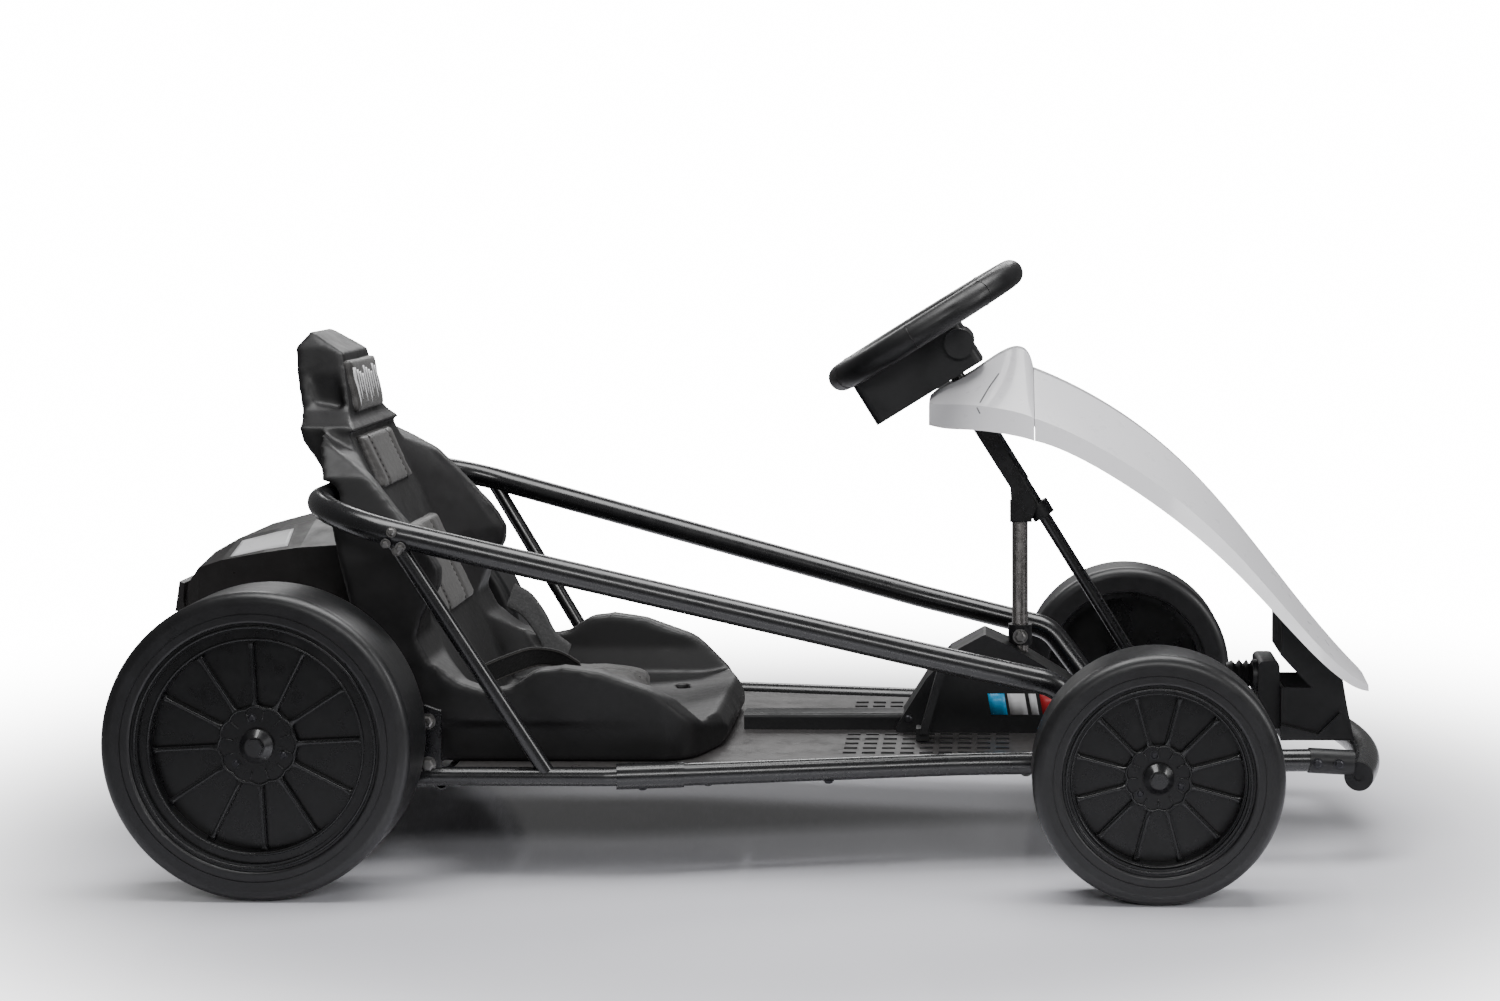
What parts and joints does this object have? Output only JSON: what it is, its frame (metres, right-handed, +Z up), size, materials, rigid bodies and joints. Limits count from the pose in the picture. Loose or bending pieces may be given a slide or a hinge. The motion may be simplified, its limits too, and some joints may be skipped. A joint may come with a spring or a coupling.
{
  "type": "ride-on toy go-kart",
  "caption": "Child's electric ride-on drift kart with tube frame, bucket seat, front fairing, steered front wheels and rolling rear wheels.",
  "frame": {"origin": "centre of the footprint, on the ground", "axes": "+X forward, +Y to the kart's left, +Z up"},
  "size_m": [1.288, 0.72, 0.6189],
  "materials": {
    "tyre": "satin foam rubber",
    "rim_plastic": "satin moulded",
    "bright_metal": "plated",
    "frame_paint": "gloss black",
    "fairing_white": "gloss white",
    "cover_grey": "gloss dark grey",
    "pad": "soft matt",
    "grip": "matt",
    "black_plastic": "satin black"
  },
  "bodies": {
    "chassis": {"axle_plates": "frame_paint", "back_pad": "pad", "bumper_bar": "frame_paint", "bumper_caps": "black_plastic", "bumper_sockets": "black_plastic", "centre_beam": "black_plastic", "column_bearing": "black_plastic", "column_post": "bright_metal", "console": "black_plastic", "cross_column": "frame_paint", "cross_nose": "frame_paint", "cross_rear": "frame_paint", "cross_seat_front": "frame_paint", "cross_seat_rear": "frame_paint", "fairing_bonnet": "fairing_white", "fairing_cowl": "fairing_white", "fairing_stay": "frame_paint", "floor_pan": "black_plastic", "front_axle_beam": "frame_paint", "gearbox_left": "black_plastic", "gearbox_right": "black_plastic", "headrest_pad": "pad", "hoop_joiner": "black_plastic", "hoop_left": "frame_paint", "hoop_right": "frame_paint", "nose_boot": "black_plastic", "nose_box": "black_plastic", "nose_post": "black_plastic", "pedal_throttle": "black_plastic", "post_clamp": "black_plastic", "rail_front_left": "frame_paint", "rail_front_right": "frame_paint", "rail_rear_left": "frame_paint", "rail_rear_right": "frame_paint", "rail_sleeves": "black_plastic", "rear_axle": "bright_metal", "rear_cover": "cover_grey", "seat_cushion": "pad", "seat_shell": "black_plastic", "struts": "frame_paint"},
    "wheel_rear_right": {"tyre_rear_right": "tyre", "rim_rear_right": "rim_plastic", "hub_cap_rear_right": "bright_metal"},
    "wheel_rear_left": {"tyre_rear_left": "tyre", "rim_rear_left": "rim_plastic", "hub_cap_rear_left": "bright_metal"},
    "wheel_front_right": {"tyre_front_right": "tyre", "rim_front_right": "rim_plastic", "hub_cap_front_right": "bright_metal"},
    "wheel_front_left": {"tyre_front_left": "tyre", "rim_front_left": "rim_plastic", "hub_cap_front_left": "bright_metal"},
    "knuckle_right": {"knuckle_right": "frame_paint"},
    "tie_rod_right": {"tie_rod_right": "frame_paint"},
    "knuckle_left": {"knuckle_left": "frame_paint"},
    "tie_rod_left": {"tie_rod_left": "frame_paint"},
    "steering": {"steering_hub": "black_plastic", "steering_rim": "grip", "steering_shaft": "bright_metal"}
  },
  "joints": [
    {"name": "steering_turn", "type": "hinge", "parent": "chassis", "child": "steering", "pos_m": [0.1568, 0, 0.5458], "axis": [-0.5255, 0, 0.8508], "range_deg": [-35, 35]},
    {"name": "kingpin_right", "type": "hinge", "parent": "chassis", "child": "knuckle_right", "pos_m": [0.3882, -0.256, 0.1225], "axis": [0, 0, 1], "range_deg": [-20, 20]},
    {"name": "tie_pin_right", "type": "hinge", "parent": "knuckle_right", "child": "tie_rod_right", "pos_m": [0.4622, -0.256, 0.128], "axis": [0, 0, 1], "range_deg": [-20, 20]},
    {"name": "kingpin_left", "type": "hinge", "parent": "chassis", "child": "knuckle_left", "pos_m": [0.3882, 0.256, 0.1225], "axis": [0, 0, 1], "range_deg": [-20, 20]},
    {"name": "tie_pin_left", "type": "hinge", "parent": "knuckle_left", "child": "tie_rod_left", "pos_m": [0.4622, 0.256, 0.128], "axis": [0, 0, 1], "range_deg": [-20, 20]},
    {"name": "roll_front_right", "type": "hinge", "parent": "knuckle_right", "child": "wheel_front_right", "pos_m": [0.3882, -0.321, 0.1225], "axis": [0, 1, 0], "continuous": true},
    {"name": "roll_front_left", "type": "hinge", "parent": "knuckle_left", "child": "wheel_front_left", "pos_m": [0.3882, 0.321, 0.1225], "axis": [0, 1, 0], "continuous": true},
    {"name": "roll_rear_right", "type": "hinge", "parent": "chassis", "child": "wheel_rear_right", "pos_m": [-0.4915, -0.315, 0.1525], "axis": [0, 1, 0], "continuous": true},
    {"name": "roll_rear_left", "type": "hinge", "parent": "chassis", "child": "wheel_rear_left", "pos_m": [-0.4915, 0.315, 0.1525], "axis": [0, 1, 0], "continuous": true}
  ],
  "couplings": [
    {"joint": "kingpin_right", "follows": "steering_turn", "ratio": 0.55},
    {"joint": "tie_pin_right", "follows": "steering_turn", "ratio": -0.55},
    {"joint": "kingpin_left", "follows": "steering_turn", "ratio": 0.55},
    {"joint": "tie_pin_left", "follows": "steering_turn", "ratio": -0.55}
  ]
}
